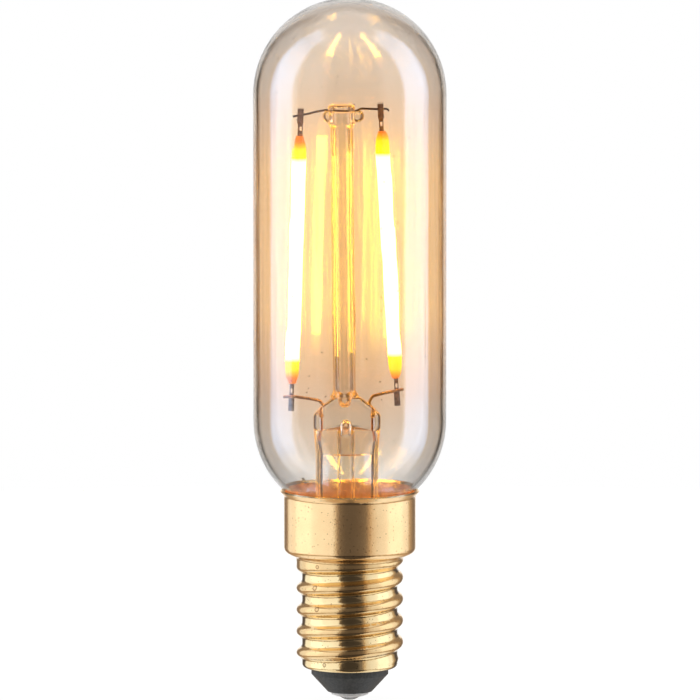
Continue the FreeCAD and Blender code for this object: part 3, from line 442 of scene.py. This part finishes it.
def cap_cement():
    """Baked brown cement: a dull, crumbly paste, with a painted glow that stands in for the filaments' light
    on it.
    """
    material, tree, shader, place = new_material("basing_cement")
    lumps = add(tree, "TexNoise", {
        "Vector": place, "Scale": pattern_scale(CEMENT_LUMP), "Detail": 5.0,
    })["Fac"]
    # Painted light, whose strength follows the lumps
    light = add(tree, "MapRange", {
        "Value": lumps, "From Min": NOISE_LOW, "From Max": NOISE_HIGH,
        "To Min": CEMENT_LEAST_PAINTED_LIGHT, "To Max": CEMENT_MOST_PAINTED_LIGHT,
    })["Result"]
    feed(tree, shader, {
        "Base Color": add(tree, "ValToRGB", {"Fac": lumps}, CEMENT_TONES)["Color"],
        "Emission Color": colour(CEMENT_PAINTED_LIGHT_COLOUR),
        "Emission Strength": light,
        "Roughness": 0.8,
        "Normal": add(tree, "Bump", {"Height": lumps, "Distance": CEMENT_LUMP_DEPTH})["Normal"],
    })
    return material


# Insulator: its tones, and the filler's grit, drawn as coarse as it needs to show
INSULATOR_TONES = [(NOISE_LOW, "#303335"), (NOISE_HIGH, "#464A4C")]
FILLER_GRIT = 0.3 * MM
FILLER_DEPTH = 0.02 * MM


def black_insulator():
    """Dark moulded insulator: near black, matt, faintly speckled."""
    material, tree, shader, place = new_material("dark_moulded_insulator")
    mottle = add(tree, "TexNoise", {
        "Vector": place, "Scale": pattern_scale(FILLER_GRIT), "Detail": 3.0,
    })["Fac"]
    feed(tree, shader, {
        "Base Color": add(tree, "ValToRGB", {"Fac": mottle}, INSULATOR_TONES)["Color"],
        "Roughness": 0.55,
        "Normal": add(tree, "Bump", {"Height": mottle, "Distance": FILLER_DEPTH})["Normal"],
    })
    return material


# Small pieces: the length over which the tone drifts on metal and on the rest, the values of its pattern
# where it is darkest and palest, and their faint relief
METAL_DRIFT = 0.4 * MM
PLAIN_DRIFT = 0.5 * MM
DRIFT_DARK = 0.35
DRIFT_PALE = 0.65
DRIFT_DEPTH = 0.01 * MM


def drifting(name, dark, pale, drift, roughness, metallic=0):
    """A small piece whose tone drifts between two colours. A dull metal is less metallic."""
    material, tree, shader, place = new_material(name)
    clouds = add(tree, "TexNoise", {
        "Vector": place, "Scale": pattern_scale(drift), "Detail": 3.0,
    })["Fac"]
    tones = [(DRIFT_DARK, dark), (DRIFT_PALE, pale)]
    feed(tree, shader, {
        "Base Color": add(tree, "ValToRGB", {"Fac": clouds}, tones)["Color"],
        "Metallic": metallic,
        "Roughness": roughness,
        "Normal": add(tree, "Bump", {"Height": clouds, "Distance": DRIFT_DEPTH})["Normal"],
    })
    return material


def bright_solder():
    """Tin solder, melted on and set: smooth and grey, with soft highlights."""
    return drifting("bright_solder", "#5C5D5F", "#8E8F91", METAL_DRIFT, roughness=0.3, metallic=0.6)


def tinned_contact():
    """Pressed and tinned plate: very pale and dull."""
    return drifting("tinned_contact", "#F4F4F4", "#FFFFFF", METAL_DRIFT, roughness=0.5, metallic=0.1)


def nickel_wire():
    """Drawn nickel wire: glossy, with a golden colour painted in for the filaments' warm light on it."""
    return drifting("nickel_wire", "#D09448", "#FFD488", METAL_DRIFT, roughness=0.35, metallic=1)


def dark_lead_wire():
    """Drawn wire: dark brown."""
    return drifting("dark_lead_wire", "#4A3222", "#6E4C34", METAL_DRIFT, roughness=0.45, metallic=1)


def dark_support_wire():
    """Drawn wire, oxidised near the hot button: a greyer brown."""
    return drifting("dark_support_wire", "#5A4636", "#7C6450", METAL_DRIFT, roughness=0.4, metallic=1)


def copper_clad_wire():
    """Copper-clad iron wire, drawn: orange and glossy."""
    return drifting("copper_clad_wire", "#C07A45", "#E0A268", METAL_DRIFT, roughness=0.35, metallic=1)


def tinned_wire():
    """Tinned copper wire: pale silver."""
    return drifting("tinned_wire", "#DEDAD2", "#F6F3EC", METAL_DRIFT, roughness=0.3, metallic=0.4)


def plated_tab_steel():
    """Punched and plated steel strip: glossy, with a warm brown colour painted in for the lit coating's
    light beside it.
    """
    return drifting("plated_tab_steel", "#A27850", "#CFA278", METAL_DRIFT, roughness=0.35, metallic=1)


def filament_substrate():
    """Fired alumina strip: off-white and smooth."""
    return drifting("filament_substrate", "#D8D2C4", "#ECE7DC", PLAIN_DRIFT, roughness=0.4)


def led_chips():
    """Grown and diced semiconductor: pale blue and glossy."""
    return drifting("led_chips", "#8FA6C8", "#B9C8DE", PLAIN_DRIFT, roughness=0.3)


def circuit_board():
    """Glass-fibre board under green solder mask: an even half gloss."""
    return drifting("circuit_board", "#1E5A34", "#2C7044", PLAIN_DRIFT, roughness=0.45)


def moulded_package():
    """Moulded black epoxy: matt."""
    return drifting("moulded_package", "#18191A", "#242628", PLAIN_DRIFT, roughness=0.5)


def chip_resistor():
    """Glazed black resistor chip: smoother than the moulded packages."""
    return drifting("chip_resistor", "#202124", "#303236", PLAIN_DRIFT, roughness=0.4)


def capacitor_sleeve():
    """Shrunk vinyl sleeve: dark blue and glossy."""
    return drifting("capacitor_sleeve", "#16243F", "#1F3050", PLAIN_DRIFT, roughness=0.35)


def resistor_lacquer():
    """Dipped and baked lacquer: pale green and glossy."""
    return drifting("resistor_lacquer", "#7FA7A0", "#93B8B0", PLAIN_DRIFT, roughness=0.35)


# Depths into the lit coating where its tones change, measured from each filament's ends. The coating
# of the right one is thinner at its ends, so less of it stays orange.
TIP_ORANGE = {"left": 0.7 * MM, "right": 0.15 * MM}
TIP_BLEND = 1.1 * MM
TIP_YELLOW_END = 2.8 * MM
TIP_WHITE = 3.4 * MM
TONES_DEPTH = 2 * TIP_WHITE

# The tones at those depths, the strength of the coating's light, and its shares there
TIP_TONES = ["#F08A18", "#FFD800", "#FFE200", "#FFD35C"]
FILAMENT_POWER = 50
TIP_POWER_SHARES = [0.014, 0.026, 0.028, 1]


def lit_phosphor(side):
    """Silicone filled with phosphor, lit from inside: white-hot, with yellow and orange ends."""
    material, tree, shader, place = new_material("lit_phosphor_" + side)
    low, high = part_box("filament_" + side + "_phosphor")
    height = add(tree, "SeparateXYZ", {"Vector": place})["Z"]
    from_foot = add(tree, "Math", {0: height, 1: low.z}, operation="SUBTRACT")[0]
    from_top = add(tree, "Math", {0: high.z, 1: height}, operation="SUBTRACT")[0]
    depth = add(tree, "Math", {0: from_foot, 1: from_top}, operation="MINIMUM")[0]
    orange = TIP_ORANGE[side]
    depths = (orange, orange + TIP_BLEND, TIP_YELLOW_END, TIP_WHITE)
    tone = colour_over(tree, depth, 0, TONES_DEPTH, list(zip(depths, TIP_TONES)))
    share = level_over(tree, depth, 0, TONES_DEPTH, list(zip(depths, TIP_POWER_SHARES)))
    feed(tree, shader, {
        "Base Color": tone,
        "Emission Color": tone,
        "Emission Strength": add(tree, "Math", {0: share, 1: FILAMENT_POWER}, operation="MULTIPLY")[0],
        "Roughness": 0.5,
    })
    return material


# Film: the length and depth of its soft dents
FILM_DENT = 2 * MM
FILM_DENT_DEPTH = 0.02 * MM


def clear_film():
    """Rolled polyester film: clear, a little milky, softly dented."""
    material, tree, shader, place = new_material("clear_polyester_film")
    dents = add(tree, "TexNoise", {"Vector": place, "Scale": pattern_scale(FILM_DENT)})["Fac"]
    feed(tree, shader, {
        "Base Color": colour("#E8ECE8"),
        "Transmission Weight": 0.9,
        "Roughness": 0.2,
        "Normal": add(tree, "Bump", {"Height": dents, "Distance": FILM_DENT_DEPTH})["Normal"],
    })
    return material


def dress(material, *names):
    """Gives a material to CAD nodes."""
    for name in names:
        nodes[name].material_slots[0].material = material


def both_sides(*patterns):
    """The names of the nodes that are on the left and on the right."""
    return [pattern.format(side) for pattern in patterns for side in ("left", "right")]


def dress_all():
    """Gives every CAD node its material."""
    dress(amber_glass(), "glass_envelope")
    dress(clear_glass(), "glass_stem")
    dress(rolled_brass(), "cap_shell")
    dress(cap_cement(), "basing_cement")
    dress(black_insulator(), "cap_insulator")
    dress(bright_solder(), "contact_solder")
    dress(tinned_contact(), "centre_contact")
    dress(nickel_wire(), *both_sides("inner_lead_{}"))
    dress(dark_lead_wire(), *both_sides("outer_lead_{}"))
    dress(dark_support_wire(), "top_support_wire")
    dress(copper_clad_wire(), *both_sides("seal_wire_{}"))
    dress(tinned_wire(), "neutral_wire", "centre_wire")
    dress(plated_tab_steel(), *both_sides("filament_{}_top_tab", "filament_{}_bottom_tab"))
    for side in ("left", "right"):
        dress(lit_phosphor(side), "filament_" + side + "_phosphor")
    dress(filament_substrate(), *both_sides("filament_{}_substrate"))
    dress(led_chips(), *both_sides("filament_{}_chips"))
    dress(circuit_board(), "driver_board")
    dress(moulded_package(), "bridge_rectifier", "current_regulator")
    dress(chip_resistor(), "current_set_resistor")
    dress(capacitor_sleeve(), "smoothing_capacitor")
    dress(resistor_lacquer(), "fusible_resistor")
    dress(clear_film(), "insulating_sleeve")


def make_camera():
    """A camera far off and slightly above, which frames the lamp as the photo does."""
    distance = FRAME_HEIGHT * LENS / SENSOR
    pixel = FRAME_HEIGHT / PHOTO_SIZE
    aim_x = (PHOTO_SIZE / 2 - AXIS_COLUMN) * pixel
    aim_z = (TIP_ROW - PHOTO_SIZE / 2) * pixel / math.cos(ELEVATION)
    location = (aim_x, -distance * math.cos(ELEVATION), aim_z + distance * math.sin(ELEVATION))
    bpy.ops.object.camera_add(location=location, rotation=(math.pi / 2 - ELEVATION, 0, 0))
    camera = bpy.context.object
    camera.data.lens = LENS
    camera.data.sensor_width = SENSOR
    camera.data.clip_start = SEEN_FROM
    camera.data.clip_end = SEEN_TO
    bpy.context.scene.camera = camera


# The studio's plans are pairs of an angle in degrees and a level of light. Round the lamp, the angle is
# 0 on the camera's side and grows to the right. In a rise, it is the height above the horizon.

# Studio for metal: walls at lamp height, and light above and below them, which is dim towards the camera
METAL_WALLS = [
    (-166, 0.75), (-162, 0.16), (-142, 0.2), (-136, 0.72), (-111, 0.78), (-109, 1), (-74, 1),
    (-68, 0.84), (-45, 0.78), (-28, 0.74), (-25, 0.5), (-21, 0.17), (-15, 0.12), (-8, 0.09),
    (4, 0.09), (12, 0.1), (20, 0.12), (30, 0.16), (35, 0.4), (39, 0.55), (48, 0.64),
    (70, 0.76), (73, 0.97), (105, 0.97), (109, 0.78), (122, 0.74), (130, 0.36), (146, 0.16),
    (161, 0.16), (166, 0.75),
]
METAL_WALL_STRENGTH = 1.4
METAL_WALL_RISE = [(-26, 0), (-20, 1), (40, 1), (50, 0)]
METAL_BEYOND = [(-40, 1), (-27, 0.07), (40, 0.07), (56, 1)]
METAL_BEYOND_STRENGTH = 1.35
METAL_BEYOND_RISE = [
    (-74, 0.44), (-60, 0.84), (-44, 0.8), (-38, 0.6), (-33, 0.4), (-26, 0.34), (-20, 0),
    (42, 0.1), (48, 0.3), (58, 0.7),
]

# Studio for the glass's gloss: a tall softbox on each side, and dim light above and below
GLASS_SOFTBOXES = [
    (-156, 0.15), (-150, 0), (-141, 0), (-136, 0.05), (-112, 0.05), (-109, 1), (-76, 1),
    (-72, 0.07), (-33, 0.07), (-27, 0), (38, 0), (44, 0.07), (68, 0.07), (71, 1),
    (107, 1), (110, 0.05), (136, 0.05), (141, 0), (150, 0), (156, 0.15),
]
GLASS_SOFTBOX_STRENGTH = 4.6
GLASS_SOFTBOX_RISE = [(-50, 0), (-18, 0.85), (0, 1), (20, 1), (62, 0.55), (70, 0)]
GLASS_BEYOND_RISE = [(-56, 0.2), (-44, 0), (54, 0), (64, 0.3)]

# Backdrop seen through glass: it stands on all four sides, and this angle is the one off the middle of
# the nearest. It reaches down below the lamp, so downwards the angle counts only from a dip.
BACKDROP = [
    (1.5, 1), (2.6, 0.94), (5, 0.83), (8, 0.8), (11, 0.97), (16, 0.95), (20, 0.6), (25, 0.08),
    (43, 0.05), (52, 0.4),
]
BACKDROP_DIP = -18

# Tones of the studio by its level. Dim walls are warm on metal, and so are dark cards through the glass.
# The softboxes on the glass turn from pale to cool between two levels.
METAL_TONES = [(0.12, "#FFEBDD"), (0.6, "#FFDFB9"), (0.95, "#FFFFFF")]
CARD_TONES = [(0.05, "#FFBE8C"), (0.4, "#FFFFFF")]
SOFTBOX_TONE = "#B0D2FF"
SOFTBOX_PALE = 1.2
SOFTBOX_COOL = 3

# A count of bounces under this one is none
NO_BOUNCE = 0.5


def around(tree, parts, plan, strength):
    """The light that a plan round the lamp gives a direction, times a strength."""
    away = add(tree, "Math", {0: parts["Y"], 1: -1}, operation="MULTIPLY")[0]
    turn = add(tree, "Math", {0: parts["X"], 1: away}, operation="ARCTAN2")[0]
    stops = [(math.radians(degrees), level) for degrees, level in plan]
    level = level_over(tree, turn, -math.pi, math.pi, stops)
    return add(tree, "Math", {0: level, 1: strength}, operation="MULTIPLY")[0]


def by_elevation(tree, parts, plan):
    """The light that a plan of the rise gives a direction."""
    rise = add(tree, "Math", {0: parts["Z"]}, operation="ARCSINE")[0]
    stops = [(math.radians(degrees), level) for degrees, level in plan]
    return level_over(tree, rise, -math.pi / 2, math.pi / 2, stops)


def studio_for_metal(tree, direction):
    """Pale walls on both sides, a dark gap at the camera and dark cards beside the backdrop."""
    parts = add(tree, "SeparateXYZ", {"Vector": direction})
    walls = around(tree, parts, METAL_WALLS, METAL_WALL_STRENGTH)
    wall_rise = by_elevation(tree, parts, METAL_WALL_RISE)
    beyond = around(tree, parts, METAL_BEYOND, METAL_BEYOND_STRENGTH)
    beyond_rise = by_elevation(tree, parts, METAL_BEYOND_RISE)
    rest = add(tree, "Math", {0: beyond, 1: beyond_rise}, operation="MULTIPLY")[0]
    return add(tree, "Math", {0: walls, 1: wall_rise, 2: rest}, operation="MULTIPLY_ADD")[0]


def studio_for_glass(tree, direction):
    """The two softboxes that leave tall pale bands on the glass, in a dim room."""
    parts = add(tree, "SeparateXYZ", {"Vector": direction})
    softboxes = around(tree, parts, GLASS_SOFTBOXES, GLASS_SOFTBOX_STRENGTH)
    rise = by_elevation(tree, parts, GLASS_SOFTBOX_RISE)
    beyond = by_elevation(tree, parts, GLASS_BEYOND_RISE)
    return add(tree, "Math", {0: softboxes, 1: rise, 2: beyond}, operation="MULTIPLY_ADD")[0]


def backdrop_through_glass(tree, direction):
    """A white backdrop behind, which dims sideways and upwards and then gives way to dark cards."""
    parts = add(tree, "SeparateXYZ", {"Vector": direction})
    across, away = [add(tree, "Math", {0: parts[name]}, operation="ABSOLUTE")[0] for name in ("X", "Y")]
    towards_side = add(tree, "Math", {0: across, 1: away}, operation="MAXIMUM")[0]
    off_side = add(tree, "Math", {0: across, 1: away}, operation="MINIMUM")[0]
    turn = add(tree, "Math", {0: off_side, 1: towards_side}, operation="ARCTAN2")[0]
    rise = add(tree, "Math", {0: parts["Z"]}, operation="ARCSINE")[0]
    below = add(tree, "Math", {0: math.radians(BACKDROP_DIP), 1: rise}, operation="SUBTRACT")[0]
    outside = add(tree, "Math", {0: rise, 1: below}, operation="MAXIMUM")[0]
    tilt = add(tree, "Math", {0: outside, 1: 0}, operation="MAXIMUM")[0]
    tilt_squared = add(tree, "Math", {0: tilt, 1: tilt}, operation="MULTIPLY")[0]
    squares = add(tree, "Math", {0: turn, 1: turn, 2: tilt_squared}, operation="MULTIPLY_ADD")[0]
    off_middle = add(tree, "Math", {0: squares}, operation="SQRT")[0]
    stops = [(math.radians(degrees), level) for degrees, level in BACKDROP]
    return level_over(tree, off_middle, 0, math.pi / 2, stops)


def make_world():
    """A studio for metal, one for the glass's gloss, one seen through glass, and white to the camera."""
    world = bpy.data.worlds.new("studio")
    world.use_nodes = True
    bpy.context.scene.world = world
    tree = world.node_tree
    background = tree.nodes["Background"]
    direction = add(tree, "TexCoord")["Generated"]
    path = add(tree, "LightPath")
    bounces = add(tree, "Math", {0: path["Glossy Depth"], 1: path["Diffuse Depth"]}, operation="ADD")[0]
    straight = add(tree, "Math", {0: bounces, 1: NO_BOUNCE}, operation="LESS_THAN")[0]
    through = add(tree, "Math", {0: path["Is Transmission Ray"], 1: straight}, operation="MULTIPLY")[0]
    sharp = add(tree, "Math", {0: path["Diffuse Depth"], 1: NO_BOUNCE}, operation="LESS_THAN")[0]
    mirrored = add(tree, "Math", {0: path["Is Singular Ray"], 1: sharp}, operation="MULTIPLY")[0]

    level = studio_for_metal(tree, direction)
    for share, light in (
        (mirrored, studio_for_glass(tree, direction)), (through, backdrop_through_glass(tree, direction)),
        (path["Is Camera Ray"], 1),
    ):
        level = add(tree, "Mix", {"Factor": share, "A": level, "B": light}, data_type="FLOAT")["Result"]

    # What comes by way of the glass takes no tone from the metal's, whose last one is white
    by_glass = add(tree, "Math", {0: through, 1: mirrored}, operation="MAXIMUM")[0]
    metal_level = add(tree, "Math", {0: level, 1: by_glass}, operation="MAXIMUM")[0]
    tone = add(tree, "ValToRGB", {"Fac": metal_level}, METAL_TONES)["Color"]
    cards = add(tree, "ValToRGB", {"Fac": level}, CARD_TONES)["Color"]
    not_through = add(tree, "Math", {0: 1, 1: through}, operation="SUBTRACT")[0]
    cool = add(tree, "MapRange", {
        "Value": level, "From Min": SOFTBOX_PALE, "From Max": SOFTBOX_COOL,
    })["Result"]
    for share in (mirrored, not_through):
        cool = add(tree, "Math", {0: cool, 1: share}, operation="MULTIPLY")[0]
    for share, other_tone in ((through, cards), (cool, colour(SOFTBOX_TONE))):
        tone = add(tree, "Mix", {
            "Factor": share, FIRST_COLOUR: tone, SECOND_COLOUR: other_tone,
        }, data_type="RGBA")[MIXED_COLOUR]
    feed(tree, background, {"Strength": level, "Color": tone})


# Table top: the camera sees mostly its own glow, so that it stays white, and the rest is its surface
FLOOR_RADIUS = 220 * MM
FLOOR_CORNERS = 96
FLOOR_COLOUR = "#F0F3F8"
FLOOR_GLOW = 1.1
FLOOR_GLOW_SHARE = 0.85


def white_table_top():
    """Matt white lacquer: even and pale, and it still takes the lamp's shadow."""
    material, tree, shader = new_material("white_table_top")[:3]
    feed(tree, shader, {"Base Color": colour(FLOOR_COLOUR), "Roughness": 0.9})
    camera_ray = add(tree, "LightPath")["Is Camera Ray"]
    seen = add(tree, "Math", {0: camera_ray, 1: FLOOR_GLOW_SHARE}, operation="MULTIPLY")[0]
    glow = add(tree, "Emission", {"Strength": FLOOR_GLOW})[0]
    surface = add(tree, "MixShader", {0: seen, 1: shader.outputs[0], 2: glow})[0]
    feed(tree, tree.nodes["Material Output"], {"Surface": surface})
    return material


def make_floor():
    """A round table top, which neither metal nor glass mirrors."""
    bpy.ops.object.select_all(action="DESELECT")
    bpy.ops.mesh.primitive_circle_add(vertices=FLOOR_CORNERS, radius=FLOOR_RADIUS, fill_type="NGON")
    floor = bpy.context.object
    floor.name = "floor"
    floor.data.materials.append(white_table_top())
    floor.visible_glossy = False
    floor.visible_transmission = False


make_camera()
make_world()
make_floor()
dress_all()

scene = bpy.context.scene
scene.view_settings.view_transform = "Standard"
scene.cycles.max_bounces = BOUNCES
scene.cycles.transmission_bounces = BOUNCES
scene.cycles.glossy_bounces = GLOSSY_BOUNCES

bpy.context.view_layer.update()
